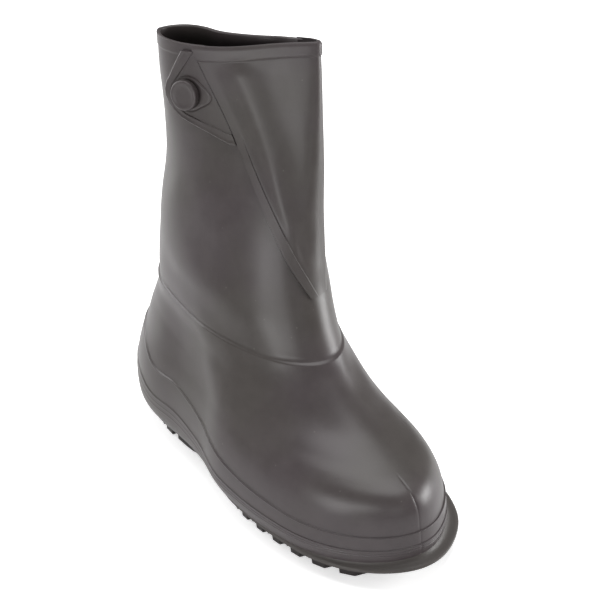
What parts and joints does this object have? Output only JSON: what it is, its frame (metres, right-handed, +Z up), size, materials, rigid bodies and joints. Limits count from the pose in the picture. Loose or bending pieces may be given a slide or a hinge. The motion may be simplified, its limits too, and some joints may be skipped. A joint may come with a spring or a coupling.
{
  "type": "winter overshoe",
  "caption": "Tall rubber winter overshoe for the right foot, hollow, with a buttoned side flap and a lugged sole with flush metal ice studs.",
  "frame": {"origin": "on the ground, under the middle of the box round the shoe", "axes": "+X from the heel to the toe, +Z up, +Y to the inner (medial) side of the right foot; the button is on -Y"},
  "size_m": [0.3215, 0.1348, 0.3042],
  "materials": {
    "upper_rubber": "satin dark grey moulded rubber",
    "sole_rubber": "matt black moulded rubber",
    "insole_cloth": "dark matt backing cloth",
    "flap_rubber": "satin dark grey rubber sheet",
    "tab_rubber": "satin dark grey rubber with a raised border",
    "button_rubber": "smooth dark rubber",
    "stud_metal": "worn bare metal"
  },
  "bodies": {
    "root": {"upper": "upper_rubber", "outsole": "sole_rubber", "insole": "insole_cloth", "closure_flap": "flap_rubber", "closure_tab": "tab_rubber", "button": "button_rubber", "stud_01": "stud_metal", "stud_02": "stud_metal", "stud_03": "stud_metal", "stud_04": "stud_metal", "stud_05": "stud_metal", "stud_06": "stud_metal", "stud_07": "stud_metal", "stud_08": "stud_metal", "stud_09": "stud_metal", "stud_10": "stud_metal", "stud_11": "stud_metal", "stud_12": "stud_metal", "stud_13": "stud_metal", "stud_14": "stud_metal", "stud_15": "stud_metal", "stud_16": "stud_metal", "stud_17": "stud_metal", "stud_18": "stud_metal", "stud_19": "stud_metal", "stud_20": "stud_metal", "stud_21": "stud_metal", "stud_22": "stud_metal", "stud_23": "stud_metal", "stud_24": "stud_metal"}
  },
  "joints": []
}
